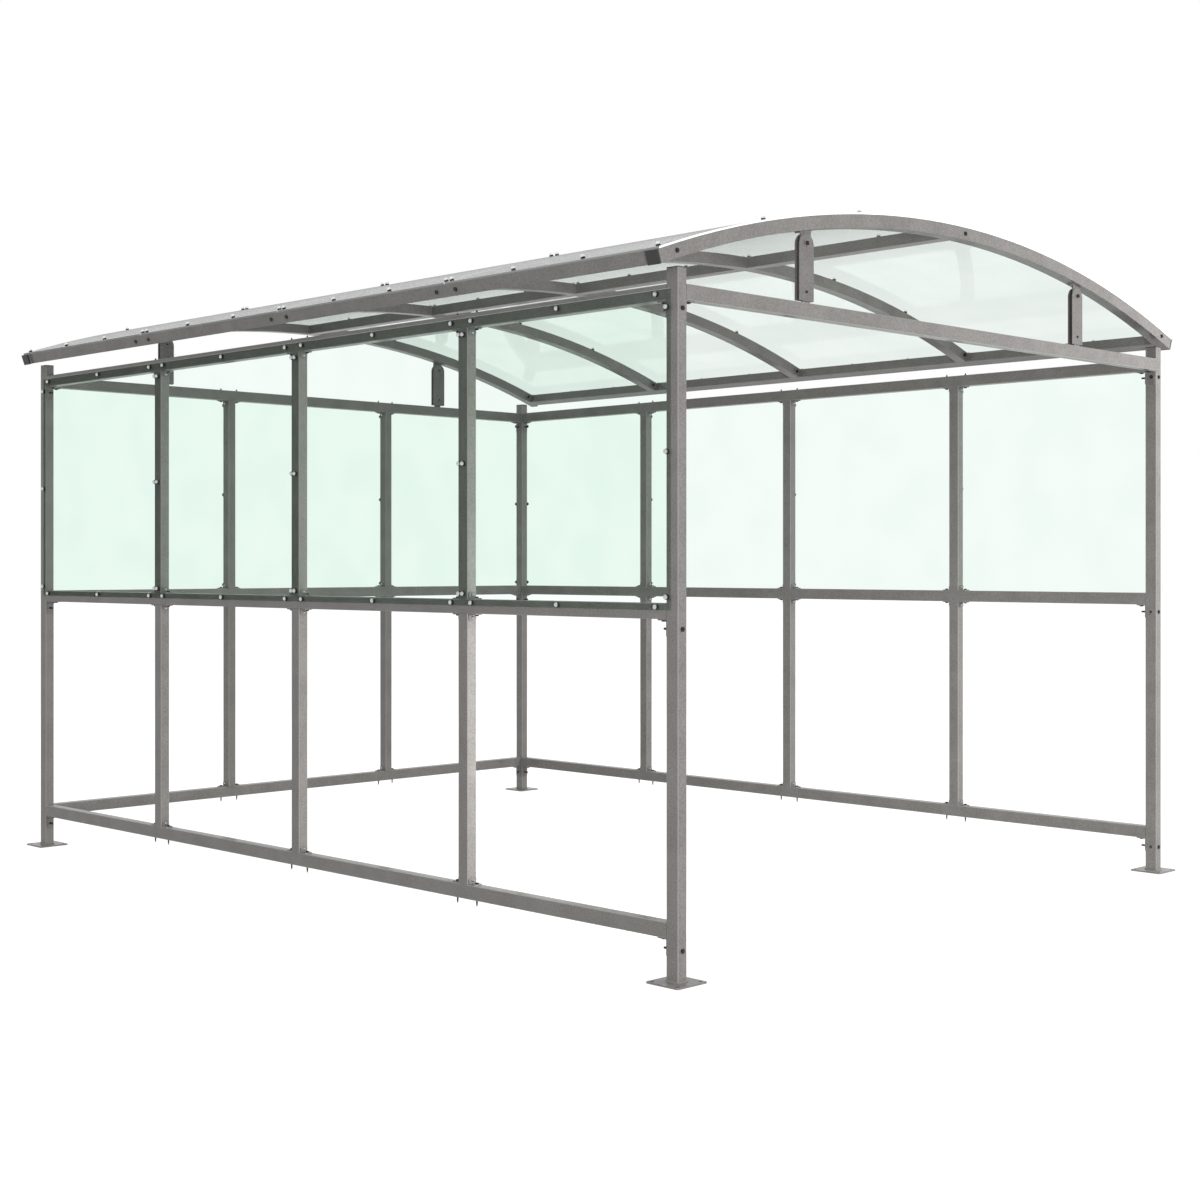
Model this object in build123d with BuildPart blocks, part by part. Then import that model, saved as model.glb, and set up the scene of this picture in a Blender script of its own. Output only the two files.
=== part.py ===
"""Open smoking shelter: a bolted frame of steel tube under a shallow arched roof of clear sheet.

X runs along the open front, Y runs back into the shelter and Z is up.
The origin lies on the ground, in the middle of the four posts. All sizes are in millimetres.
"""
from build123d import *
from math import asin, cos, sin, sqrt
import os

# Overall size, over the outer faces of the corner posts
WIDTH = 3000
DEPTH = 4000
SIDE_BAYS = 4
BACK_BAYS = 3

# Corner posts and the plates welded under them
POST_X = 40
POST_Y = 50
POST_ABOVE_RAIL = 51
TUBE_WALL = 2
TUBE_CORNER = 2
PLATE_SIDE = 135
PLATE_THICKNESS = 6
PLATE_CORNER = 3
ANCHOR_PITCH = 105
ANCHOR_DIAMETER = 12
CAP_THICKNESS = 3

# Rails run between the posts at three levels, and the studs stand between the rails
RAIL_HEIGHT = 50
RAIL_DEPTH = 40
LOWEST_RAIL = 137
RAIL_PITCH = 986
STUD_X = 40
STUD_Y = 50

# Angle cleats: one leg lies along a rail, the other stands on the side of a stud or a post
CLEAT_THICKNESS = 4
CLEAT_WIDTH = 32
CLEAT_CORNER = 6
STUD_CLEAT_RUN = 40
STUD_CLEAT_RISE = 25
POST_CLEAT_RUN = 46
POST_CLEAT_RISE = 58
ROOF_CLEAT_RUN = 44
ROOF_CLEAT_RISE = 40

# Clear sheets on the outer faces of the walls, lapping the rails and the posts
WALL_SHEET_THICKNESS = 4
WALL_SHEET_LAP_LOW = 23
WALL_SHEET_LAP_HIGH = 35
WALL_SHEET_LAP_POST = 21
SHEET_JOINT = 3

# Arched roof: five arches, two eave beams and a ridge purlin, all of one tube
ARCH_RADIUS = 4705
ROOF_TUBE_DEPTH = 45
ROOF_TUBE_WIDTH = 50
ARCH_OVER_POST = 24
EAVE_REACH = 52
ARCH_OVERHANG = 6
ARCH_CAP_THICKNESS = 7
ROOF_SHEET_THICKNESS = 6
ROOF_SHEET_SEAT = 0.3

# Struts that carry the end arches: folded channels with round heads
STRUT_OFFSET = 855
STRUT_WIDTH = 76
STRUT_DEPTH = 20
STRUT_PLATE = 3
STRUT_FOOT_GAP = 9
STRUT_HEAD_GAP = 11
STRUT_BOLT_UP = 39
STRUT_BOLT_DOWN = 32

# Lugs inside the struts, one under the arch and one on the beam or rail below
LUG_THICKNESS = 5
HIGH_LUG_WIDTH = 54
HIGH_LUG_BASE = 64
HIGH_LUG_BASE_DEPTH = 22
LOW_LUG_WIDTH = 40
LUG_SEAT = 0.2

# Places that follow from the sizes above
post_line_x = WIDTH / 2 - POST_X / 2
post_line_y = DEPTH / 2 - POST_Y / 2
side_bay = 2 * post_line_y / SIDE_BAYS
back_bay = 2 * post_line_x / BACK_BAYS
side_stud_rows = [-post_line_y + side_bay * i for i in range(1, SIDE_BAYS)]
back_stud_rows = [-post_line_x + back_bay * i for i in range(1, BACK_BAYS)]
rail_levels = [LOWEST_RAIL + RAIL_PITCH * i for i in range(3)]
beam_top = rail_levels[2] + RAIL_HEIGHT
post_top = beam_top + POST_ABOVE_RAIL
rail_line_x = WIDTH / 2 - RAIL_DEPTH / 2
rail_line_y = DEPTH / 2 - RAIL_DEPTH / 2
stud_line_x = WIDTH / 2 - STUD_X / 2
stud_line_y = DEPTH / 2 - STUD_Y / 2
side_rail_length = DEPTH - 2 * POST_Y
cross_rail_length = WIDTH - 2 * POST_X
stud_length = RAIL_PITCH - RAIL_HEIGHT

arch_inner = ARCH_RADIUS - ROOF_TUBE_DEPTH
arch_middle = ARCH_RADIUS - ROOF_TUBE_DEPTH / 2
arch_centre_z = post_top + ARCH_OVER_POST - sqrt(arch_inner**2 - (WIDTH / 2) ** 2)
eave_angle = asin((WIDTH / 2 + EAVE_REACH) / arch_middle)
roof_end = DEPTH / 2
arch_line_y = roof_end - ROOF_TUBE_WIDTH / 2
arch_rows = [-arch_line_y] + side_stud_rows + [arch_line_y]
beam_half = ROOF_TUBE_WIDTH / 2
arch_end = beam_half + ARCH_OVERHANG

os.makedirs("parts", exist_ok=True)


def save(builder, name):
    """Label a finished piece and write it to its own file."""
    builder.part.label = name
    export_step(builder.part, f"parts/{name}.step")


def eased_rectangle(width, height, corner):
    """Rectangle with its four corners taken off."""
    with BuildSketch() as outline:
        Rectangle(width, height)
        chamfer(outline.vertices(), corner)
    return outline.sketch


def tube_section(width, height):
    """Section of a rectangular tube, with eased outer corners and the common wall."""
    with BuildSketch() as section:
        add(eased_rectangle(width, height, TUBE_CORNER))
        Rectangle(width - 2 * TUBE_WALL, height - 2 * TUBE_WALL, mode=Mode.SUBTRACT)
    return section.sketch


def arch_under(x):
    """Height of the underside of the arches at a distance x from the middle."""
    return arch_centre_z + sqrt(arch_inner**2 - x**2)


def eave_point(radius, along):
    """Point in the right half of the roof, in the XZ plane.

    It lies on the circle of that radius about the arch centre, at a straight distance
    along the slope from the middle of the eave beam. Positive distances go outwards.
    """
    reach = sqrt(radius**2 - along**2)
    x = reach * sin(eave_angle) + along * cos(eave_angle)
    z = arch_centre_z + reach * cos(eave_angle) - along * sin(eave_angle)
    return x, z


def arch_band(inner, outer, along):
    """Flat band between two radii, from eave to eave, with both ends cut square to the slope."""
    outer_x, outer_z = eave_point(outer, along)
    inner_x, inner_z = eave_point(inner, along)
    with BuildSketch() as band:
        with BuildLine():
            ThreePointArc((-outer_x, outer_z), (0, arch_centre_z + outer), (outer_x, outer_z))
            Line((outer_x, outer_z), (inner_x, inner_z))
            ThreePointArc((inner_x, inner_z), (0, arch_centre_z + inner), (-inner_x, inner_z))
            Line((-inner_x, inner_z), (-outer_x, outer_z))
        make_face()
    return band.sketch


def angle_piece(run, rise):
    """Angle with its heel on the Z axis, one leg along X, one along Y, and clipped free corners."""
    with BuildPart() as angle:
        with BuildSketch():
            with BuildLine():
                Polyline(
                    (0, 0),
                    (run, 0),
                    (run, CLEAT_THICKNESS),
                    (CLEAT_THICKNESS, CLEAT_THICKNESS),
                    (CLEAT_THICKNESS, rise),
                    (0, rise),
                    close=True,
                )
            make_face()
        extrude(amount=CLEAT_WIDTH / 2, both=True)
        for axis in (Axis.X, Axis.Y):
            free_end = angle.faces().sort_by(axis)[-1]
            corners = free_end.edges().sort_by(Axis.Z)
            chamfer([corners[0], corners[-1]], CLEAT_CORNER)
    return angle.part


def leg_plane(heel, run, rise):
    """Plane at the heel of an angle, with its X along one leg and its Y along the other."""
    return Plane(heel, x_dir=run, z_dir=Vector(*run).cross(Vector(*rise)))


# Corner posts: a rectangular tube standing on a drilled square plate
post_places = {
    "front_left_post": (-post_line_x, -post_line_y),
    "front_right_post": (post_line_x, -post_line_y),
    "back_left_post": (-post_line_x, post_line_y),
    "back_right_post": (post_line_x, post_line_y),
}
for name, (x, y) in post_places.items():
    with BuildPart() as post:
        with BuildSketch(Plane((x, y, 0))):
            add(eased_rectangle(PLATE_SIDE, PLATE_SIDE, PLATE_CORNER))
            with GridLocations(ANCHOR_PITCH, ANCHOR_PITCH, 2, 2):
                Circle(ANCHOR_DIAMETER / 2, mode=Mode.SUBTRACT)
        extrude(amount=PLATE_THICKNESS)
        with BuildSketch(Plane((x, y, PLATE_THICKNESS))):
            add(tube_section(POST_X, POST_Y))
        extrude(amount=post_top - CAP_THICKNESS - PLATE_THICKNESS)
    save(post, name)

# Moulded caps in the open tops of the posts
with BuildPart() as post_caps:
    for x, y in post_places.values():
        with BuildSketch(Plane((x, y, post_top - CAP_THICKNESS))):
            add(eased_rectangle(POST_X, POST_Y, TUBE_CORNER))
        extrude(amount=CAP_THICKNESS)
save(post_caps, "post_caps")

# Rails of the two side walls, along Y between the posts
for side, sign in (("left", -1), ("right", 1)):
    for level, z in zip(("bottom", "middle", "top"), rail_levels):
        rail_start = (sign * rail_line_x, side_rail_length / 2, z + RAIL_HEIGHT / 2)
        with BuildPart() as rail:
            with BuildSketch(Plane(rail_start, x_dir=(1, 0, 0), z_dir=(0, -1, 0))):
                add(tube_section(RAIL_DEPTH, RAIL_HEIGHT))
            extrude(amount=side_rail_length)
        save(rail, f"{side}_{level}_rail")

# Rails of the back wall and the beam over the open front, along X between the posts
cross_rails = {
    "back_bottom_rail": (rail_line_y, rail_levels[0]),
    "back_middle_rail": (rail_line_y, rail_levels[1]),
    "back_top_rail": (rail_line_y, rail_levels[2]),
    "front_beam": (-rail_line_y, rail_levels[2]),
}
for name, (y, z) in cross_rails.items():
    rail_start = (-cross_rail_length / 2, y, z + RAIL_HEIGHT / 2)
    with BuildPart() as rail:
        with BuildSketch(Plane(rail_start, x_dir=(0, 1, 0), z_dir=(1, 0, 0))):
            add(tube_section(RAIL_DEPTH, RAIL_HEIGHT))
        extrude(amount=cross_rail_length)
    save(rail, name)

# Studs: a lower and an upper length at each place, cut to fit between the rails
stud_places = {
    "left": [(-stud_line_x, y) for y in side_stud_rows],
    "right": [(stud_line_x, y) for y in side_stud_rows],
    "back": [(x, stud_line_y) for x in back_stud_rows],
}
for wall, places in stud_places.items():
    with BuildPart() as studs:
        for x, y in places:
            for level in rail_levels[:2]:
                with BuildSketch(Plane((x, y, level + RAIL_HEIGHT))):
                    add(tube_section(STUD_X, STUD_Y))
                extrude(amount=stud_length)
    save(studs, f"{wall}_studs")

# The three angle cleats: at the studs, at the posts and under the roof
stud_cleat = angle_piece(STUD_CLEAT_RUN, STUD_CLEAT_RISE)
post_cleat = angle_piece(POST_CLEAT_RUN, POST_CLEAT_RISE)
roof_cleat = angle_piece(ROOF_CLEAT_RUN, ROOF_CLEAT_RISE)


def stud_cleat_planes(faces_and_ways):
    """Places of the cleats in the four corners that each stud face makes with the rails."""
    planes = []
    for (x, y), way in faces_and_ways:
        for level in rail_levels[:2]:
            planes.append(leg_plane((x, y, level + RAIL_HEIGHT), way, (0, 0, 1)))
        for level in rail_levels[1:]:
            planes.append(leg_plane((x, y, level), way, (0, 0, -1)))
    return planes


def post_cleat_planes(x, y, way, levels):
    """Places of the cleats under the rail ends that meet one post."""
    return [leg_plane((x, y, level), way, (0, 0, -1)) for level in levels]


# Cleats of the side walls
for side, sign in (("left", -1), ("right", 1)):
    stud_faces = [((sign * rail_line_x, y + w * STUD_Y / 2), (0, w, 0)) for y in side_stud_rows for w in (-1, 1)]
    with BuildPart() as cleats:
        with Locations(*stud_cleat_planes(stud_faces)):
            add(stud_cleat)
        for way in (-1, 1):
            places = post_cleat_planes(sign * rail_line_x, way * side_rail_length / 2, (0, -way, 0), rail_levels)
            with Locations(*places):
                add(post_cleat)
    save(cleats, f"{side}_cleats")

# Cleats of the back wall, placed in the same way
stud_faces = [((x + w * STUD_X / 2, rail_line_y), (w, 0, 0)) for x in back_stud_rows for w in (-1, 1)]
with BuildPart() as back_cleats:
    with Locations(*stud_cleat_planes(stud_faces)):
        add(stud_cleat)
    for way in (-1, 1):
        with Locations(*post_cleat_planes(way * cross_rail_length / 2, rail_line_y, (-way, 0, 0), rail_levels)):
            add(post_cleat)
save(back_cleats, "back_cleats")

# The open front has one cleat under each end of its beam
with BuildPart() as front_cleats:
    for way in (-1, 1):
        with Locations(*post_cleat_planes(way * cross_rail_length / 2, -rail_line_y, (-way, 0, 0), rail_levels[2:])):
            add(post_cleat)
save(front_cleats, "front_cleats")

# Wall sheets: one to a bay in the upper half, meeting on the middle of each stud
sheet_low = rail_levels[1] + RAIL_HEIGHT - WALL_SHEET_LAP_LOW
sheet_high = rail_levels[2] + WALL_SHEET_LAP_HIGH
sheet_height = sheet_high - sheet_low
side_sheet_end = DEPTH / 2 - POST_Y + WALL_SHEET_LAP_POST
back_sheet_end = WIDTH / 2 - POST_X + WALL_SHEET_LAP_POST
side_joints = [-side_sheet_end] + side_stud_rows + [side_sheet_end]
back_joints = [-back_sheet_end] + back_stud_rows + [back_sheet_end]
wall_faces = {
    "left": (Plane((-WIDTH / 2, 0, 0), x_dir=(0, -1, 0), z_dir=(-1, 0, 0)), side_joints),
    "right": (Plane((WIDTH / 2, 0, 0), x_dir=(0, 1, 0), z_dir=(1, 0, 0)), side_joints),
    "back": (Plane((0, DEPTH / 2, 0), x_dir=(-1, 0, 0), z_dir=(0, 1, 0)), back_joints),
}
for wall, (wall_face, joints) in wall_faces.items():
    with BuildPart() as sheets:
        with BuildSketch(wall_face):
            for first, last in zip(joints, joints[1:]):
                with Locations(((first + last) / 2, sheet_low + sheet_height / 2)):
                    Rectangle(last - first - SHEET_JOINT, sheet_height)
        extrude(amount=WALL_SHEET_THICKNESS)
    save(sheets, f"{wall}_sheets")

# Arches: rolled rectangular tube. The two end arches pass over the ends of the eave beams,
# and the three between them are cut to fit between the beams.
arch_names = ["front_arch", "second_arch", "middle_arch", "fourth_arch", "back_arch"]
for name, y in zip(arch_names, arch_rows):
    cut = arch_end if name in ("front_arch", "back_arch") else -beam_half
    with BuildPart() as arch:
        with BuildSketch(Plane.XZ.offset(-y)):
            add(arch_band(arch_inner, ARCH_RADIUS, cut))
        extrude(amount=ROOF_TUBE_WIDTH / 2, both=True)
        with BuildSketch(Plane.XZ.offset(-y)):
            add(arch_band(arch_inner + TUBE_WALL, ARCH_RADIUS - TUBE_WALL, cut))
        extrude(amount=ROOF_TUBE_WIDTH / 2 - TUBE_WALL, both=True, mode=Mode.SUBTRACT)
    save(arch, name)

# Moulded caps close the four open ends of the end arches
low_x, low_z = eave_point(arch_inner, arch_end)
high_x, high_z = eave_point(ARCH_RADIUS, arch_end)
cap_out_x = ARCH_CAP_THICKNESS * cos(eave_angle)
cap_out_z = -ARCH_CAP_THICKNESS * sin(eave_angle)
with BuildPart() as arch_caps:
    for y in (arch_rows[0], arch_rows[-1]):
        for sign in (-1, 1):
            with BuildSketch(Plane.XZ.offset(-y)):
                with BuildLine():
                    Polyline(
                        (sign * low_x, low_z),
                        (sign * high_x, high_z),
                        (sign * (high_x + cap_out_x), high_z + cap_out_z),
                        (sign * (low_x + cap_out_x), low_z + cap_out_z),
                        close=True,
                    )
                make_face()
            extrude(amount=ROOF_TUBE_WIDTH / 2, both=True)
save(arch_caps, "arch_caps")

# Eave beams: straight tube tilted to the slope, between the end arches
eave_length = 2 * (roof_end - ROOF_TUBE_WIDTH)
eave_line_x = arch_middle * sin(eave_angle)
eave_line_z = arch_centre_z + arch_middle * cos(eave_angle)
for side, sign in (("left", -1), ("right", 1)):
    beam_start = (sign * eave_line_x, eave_length / 2, eave_line_z)
    slope = (cos(eave_angle), 0, -sign * sin(eave_angle))
    with BuildPart() as beam:
        with BuildSketch(Plane(beam_start, x_dir=slope, z_dir=(0, -1, 0))):
            add(tube_section(ROOF_TUBE_WIDTH, ROOF_TUBE_DEPTH))
        extrude(amount=eave_length)
    save(beam, f"{side}_eave_beam")

# Ridge purlin: one length of tube in each bay, between the arches
with BuildPart() as purlin:
    for front, back in zip(arch_rows, arch_rows[1:]):
        purlin_start = (0, back - ROOF_TUBE_WIDTH / 2, arch_centre_z + arch_middle)
        with BuildSketch(Plane(purlin_start, x_dir=(1, 0, 0), z_dir=(0, -1, 0))):
            add(tube_section(ROOF_TUBE_WIDTH, ROOF_TUBE_DEPTH))
        extrude(amount=back - front - ROOF_TUBE_WIDTH)
save(purlin, "ridge_purlin")


def roof_cleat_plane(sign, angle, arch_face, way):
    """Place of a cleat in the corner of an arch face and a beam at that angle from the ridge.

    It stands square to the slope, with one leg on the arch towards the middle of the roof
    and one on the beam, on the side of the arch that way points to.
    """
    slope_in = Vector(-sign * cos(angle), 0, sin(angle))
    upright = Vector(sign * sin(angle), 0, cos(angle))
    heel = Vector(0, arch_face, arch_centre_z) + upright * arch_middle + slope_in * beam_half
    return Plane(heel, x_dir=slope_in, z_dir=slope_in.cross(Vector(0, way, 0)))


# Roof cleats, on each side of every arch that has a bay, at both eaves and beside the purlin
roof_places = []
for row, y in enumerate(arch_rows):
    for way in (-1, 1):
        if 0 <= row + way < len(arch_rows):
            arch_face = y + way * ROOF_TUBE_WIDTH / 2
            roof_places.append(roof_cleat_plane(-1, eave_angle, arch_face, way))
            roof_places.append(roof_cleat_plane(1, eave_angle, arch_face, way))
            roof_places.append(roof_cleat_plane(-1, 0, arch_face, way))
with BuildPart() as roof_cleats:
    with Locations(*roof_places):
        add(roof_cleat)
save(roof_cleats, "roof_cleats")

# Roof sheets: one to a bay, bent over the arches and down to the outer edge of the eave beams
sheet_inner = ARCH_RADIUS + ROOF_SHEET_SEAT
roof_joints = [-roof_end - SHEET_JOINT / 2] + side_stud_rows + [roof_end + SHEET_JOINT / 2]
for number, (first, last) in enumerate(zip(roof_joints, roof_joints[1:]), start=1):
    with BuildPart() as sheet:
        with BuildSketch(Plane.XZ.offset(-(first + last) / 2)):
            add(arch_band(sheet_inner, sheet_inner + ROOF_SHEET_THICKNESS, beam_half))
        extrude(amount=(last - first - SHEET_JOINT) / 2, both=True)
    save(sheet, f"roof_sheet_{number}")

# Struts: folded channel open on its left side, with a round head. A bolt passes near each end.
strut_foot = beam_top + STRUT_FOOT_GAP
strut_head = arch_under(STRUT_OFFSET) - STRUT_HEAD_GAP
strut_half = STRUT_WIDTH / 2
shoulder = strut_head - strut_half
low_bolt = beam_top + STRUT_BOLT_UP
high_bolt = strut_head - STRUT_BOLT_DOWN
strut_places = {
    "front_left_strut": (-STRUT_OFFSET, -arch_line_y),
    "front_right_strut": (STRUT_OFFSET, -arch_line_y),
    "back_left_strut": (-STRUT_OFFSET, arch_line_y),
    "back_right_strut": (STRUT_OFFSET, arch_line_y),
}
for name, (x, y) in strut_places.items():
    upright = Plane((x, y, 0), x_dir=(1, 0, 0), z_dir=(0, -1, 0))
    with BuildPart() as strut:
        with BuildSketch(upright):
            with BuildLine():
                Polyline(
                    (-strut_half, shoulder),
                    (-strut_half, strut_foot),
                    (strut_half, strut_foot),
                    (strut_half, shoulder),
                )
                ThreePointArc((strut_half, shoulder), (0, strut_head), (-strut_half, shoulder))
            make_face()
        extrude(amount=STRUT_DEPTH / 2, both=True)
        with BuildSketch(upright):
            with Locations((-STRUT_PLATE, (strut_foot + strut_head) / 2)):
                Rectangle(STRUT_WIDTH, strut_head - strut_foot)
        extrude(amount=STRUT_DEPTH / 2 - STRUT_PLATE, both=True, mode=Mode.SUBTRACT)
    save(strut, name)

# Lugs: flat ears behind the outer plate of each strut. The upper ear hangs from a foot plate
# that follows the slope of the arch, and the lower ear stands on the beam or rail. The free end
# of each ear is round about its bolt.
with BuildPart() as strut_lugs:
    for x, y in strut_places.values():
        outward = -1 if y < 0 else 1
        ear_face = Plane((x, y + outward * (STRUT_DEPTH / 2 - STRUT_PLATE), 0), x_dir=(1, 0, 0), z_dir=(0, -1, 0))
        base_half = HIGH_LUG_BASE / 2
        left_z = arch_under(x - base_half) - LUG_SEAT
        right_z = arch_under(x + base_half) - LUG_SEAT
        slope_z = (right_z - left_z) / HIGH_LUG_BASE
        ear_half = HIGH_LUG_WIDTH / 2
        ear_z = (left_z + right_z) / 2
        with BuildSketch(ear_face):
            with BuildLine():
                Polyline(
                    (-base_half, left_z),
                    (base_half, right_z),
                    (base_half, right_z - LUG_THICKNESS),
                    (-base_half, left_z - LUG_THICKNESS),
                    close=True,
                )
            make_face()
        extrude(amount=outward * HIGH_LUG_BASE_DEPTH)
        with BuildSketch(ear_face):
            with BuildLine():
                Polyline(
                    (-ear_half, high_bolt),
                    (-ear_half, ear_z - slope_z * ear_half),
                    (ear_half, ear_z + slope_z * ear_half),
                    (ear_half, high_bolt),
                )
                ThreePointArc((ear_half, high_bolt), (0, high_bolt - ear_half), (-ear_half, high_bolt))
            make_face()
        extrude(amount=outward * LUG_THICKNESS)
        foot_half = LOW_LUG_WIDTH / 2
        with BuildSketch(ear_face):
            with BuildLine():
                Polyline((-foot_half, low_bolt), (-foot_half, beam_top), (foot_half, beam_top), (foot_half, low_bolt))
                ThreePointArc((foot_half, low_bolt), (0, low_bolt + foot_half), (-foot_half, low_bolt))
            make_face()
        extrude(amount=outward * LUG_THICKNESS)
save(strut_lugs, "strut_lugs")
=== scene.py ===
# %% [markdown]
# This lesson dresses an open smoking shelter: a bolted frame of grey steel tube, clear sheets on the
# upper half of three walls, and a shallow arched roof of clear sheet.
# The steelwork comes in as a fixed frame, already at its real size and place. What is made here is the
# finish of every part, and the small hardware that holds the real one together.

import bmesh
import bpy
from collections import namedtuple
from math import asin, cos, radians, sin, sqrt, tau
from mathutils import Matrix, Vector


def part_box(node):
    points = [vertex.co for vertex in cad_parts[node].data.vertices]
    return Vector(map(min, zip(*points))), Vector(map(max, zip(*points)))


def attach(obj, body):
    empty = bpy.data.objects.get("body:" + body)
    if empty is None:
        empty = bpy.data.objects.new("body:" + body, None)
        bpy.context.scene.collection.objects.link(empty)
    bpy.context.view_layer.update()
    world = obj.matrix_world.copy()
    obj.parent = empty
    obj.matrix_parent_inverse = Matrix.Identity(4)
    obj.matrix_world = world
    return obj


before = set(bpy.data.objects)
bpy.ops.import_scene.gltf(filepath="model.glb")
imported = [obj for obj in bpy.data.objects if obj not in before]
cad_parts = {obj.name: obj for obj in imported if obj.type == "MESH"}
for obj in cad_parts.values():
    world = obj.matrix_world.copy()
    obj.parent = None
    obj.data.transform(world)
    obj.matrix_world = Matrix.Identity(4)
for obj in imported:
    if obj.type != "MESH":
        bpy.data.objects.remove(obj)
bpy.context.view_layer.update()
MM = 0.001
print("loaded", len(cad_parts), "parts of the frame")

# %% [markdown]
# The camera stands outside the front left corner at chest height and looks level across the shelter,
# so every upright stays upright in the picture. The view is moved by a lens shift and not by a tilt, as
# a photographer of buildings would do it. Its place and lens were found by laying the edges of the
# frame over those in the photograph.

# %% Camera
CAMERA_PLACE = (-5.643, -5.828, 1.292)
CAMERA_HEADING = 44.83
SENSOR = 36
LENS = 55.098
LENS_SHIFT = -0.02947

camera = bpy.data.objects.new("camera", bpy.data.cameras.new("camera"))
bpy.context.scene.collection.objects.link(camera)
camera.location = CAMERA_PLACE
camera.rotation_euler = (radians(90), 0, radians(-CAMERA_HEADING))
camera.data.sensor_width = SENSOR
camera.data.lens = LENS
camera.data.shift_y = LENS_SHIFT
bpy.context.scene.camera = camera
print("camera looks", CAMERA_HEADING, "degrees right of the side walls")

# %% [markdown]
# Two helpers serve every finish. One turns the colour codes that a painter would read off a chart into
# the linear values that light is worked out in. The other adds a node, sets it and links it in one go,
# so that each material below reads as a list of its layers.

# %% Colours and nodes
def paint(code):
    """Linear colour of an sRGB hex code."""
    channels = [int(code[i : i + 2], 16) / 255 for i in (1, 3, 5)]
    return [c / 12.92 if c <= 0.04045 else ((c + 0.055) / 1.055) ** 2.4 for c in channels] + [1.0]


def add_node(tree, kind, inputs=None, **settings):
    """Add a node, set its properties, and fill its inputs with values or with other nodes' sockets."""
    node = tree.nodes.new(kind)
    for name, value in settings.items():
        setattr(node, name, value)
    for name, value in (inputs or {}).items():
        if isinstance(value, bpy.types.NodeSocket):
            tree.links.new(value, node.inputs[name])
        else:
            node.inputs[name].default_value = value
    return node


def new_finish(name):
    """Empty material, with every node cleared out."""
    finish = bpy.data.materials.new(name)
    finish.use_nodes = True
    finish.node_tree.nodes.clear()
    return finish, finish.node_tree


print("a mid grey of 50 % on the chart is", round(paint("#808080")[0], 3), "in linear light")

# %% [markdown]
# The tubes are mild steel with a grey powder coat, sprayed on as dust and baked. It gives the eye a
# warm mid grey with a soft satin sheen and a fine speckle, where the grains melted unevenly. The
# speckle is really under a millimetre wide. At this distance that would vanish, so it is drawn about
# six times as coarse, 6 mm, and the orange peel of the surface 4 mm. Wider clouds, 90 mm across, show
# where the spray was thicker. The rounded edges are painted paler than the flats, a painted highlight
# for the light that a corner catches. The glaze on top is thin and clear. The cleats, lugs and
# struts are cut and folded from plate and coated in a slightly darker batch.

# %% Powder-coated steel
SPECKLE = 6 * MM
PEEL = 4 * MM
CLOUDS = 90 * MM
PAINTED_CORNER_HIGHLIGHT = "#ABA8A5"


def powder_coated_steel(name, dark, pale, roughness):
    """Satin grey powder coat with a fine speckle, painted corner highlights and an orange-peel surface."""
    finish, tree = new_finish(name)
    part_space = add_node(tree, "ShaderNodeTexCoord").outputs
    place, normal = part_space["Object"], part_space["Normal"]
    speckle = add_node(
        tree, "ShaderNodeTexNoise", {"Vector": place, "Scale": 1 / SPECKLE, "Detail": 3.0, "Roughness": 0.7}
    )
    clouds = add_node(
        tree, "ShaderNodeTexNoise", {"Vector": place, "Scale": 1 / CLOUDS, "Detail": 2.0, "Roughness": 0.5}
    )
    cloud_share = add_node(
        tree, "ShaderNodeMath", {0: clouds.outputs["Fac"], 1: 0.25}, operation="MULTIPLY"
    )
    grain = add_node(
        tree,
        "ShaderNodeMath",
        {0: speckle.outputs["Fac"], 1: 0.75, 2: cloud_share.outputs[0]},
        operation="MULTIPLY_ADD",
    )
    facing = add_node(tree, "ShaderNodeVectorMath", {0: normal}, operation="ABSOLUTE")
    axes = add_node(tree, "ShaderNodeSeparateXYZ", {0: facing.outputs[0]}).outputs
    flattest = add_node(tree, "ShaderNodeMath", {0: axes[0], 1: axes[1]}, operation="MAXIMUM")
    flattest = add_node(tree, "ShaderNodeMath", {0: flattest.outputs[0], 1: axes[2]}, operation="MAXIMUM")
    # Painted highlight: faces that lean away from every axis, the rounded edges, take the pale corner
    # colour.
    corner = add_node(
        tree, "ShaderNodeMapRange", {"Value": flattest.outputs[0], "From Min": 0.93, "From Max": 0.85}
    )
    tone = add_node(tree, "ShaderNodeValToRGB", {"Fac": grain.outputs[0]})
    tone.color_ramp.elements[0].position = 0.36
    tone.color_ramp.elements[0].color = paint(dark)
    tone.color_ramp.elements[1].position = 0.64
    tone.color_ramp.elements[1].color = paint(pale)
    corner_highlight = add_node(
        tree,
        "ShaderNodeMix",
        {"Factor": corner.outputs["Result"], "A": tone.outputs["Color"], "B": paint(PAINTED_CORNER_HIGHLIGHT)},
        data_type="RGBA",
    )
    gloss = add_node(
        tree,
        "ShaderNodeMapRange",
        {
            "Value": grain.outputs[0],
            "From Min": 0.3,
            "From Max": 0.7,
            "To Min": roughness + 0.08,
            "To Max": roughness - 0.06,
        },
    )
    peel = add_node(tree, "ShaderNodeTexNoise", {"Vector": place, "Scale": 1 / PEEL, "Detail": 2.0})
    skin = add_node(
        tree, "ShaderNodeBump", {"Height": peel.outputs["Fac"], "Strength": 0.25, "Distance": 0.4 * MM}
    )
    coat = add_node(
        tree,
        "ShaderNodeBsdfPrincipled",
        {
            "Base Color": corner_highlight.outputs["Result"],
            "Roughness": gloss.outputs["Result"],
            "Normal": skin.outputs["Normal"],
            "Specular IOR Level": 0.3,
            "Coat Weight": 0.35,
            "Coat Roughness": 0.12,
        },
    )
    add_node(tree, "ShaderNodeOutputMaterial", {"Surface": coat.outputs["BSDF"]})
    return finish


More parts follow.
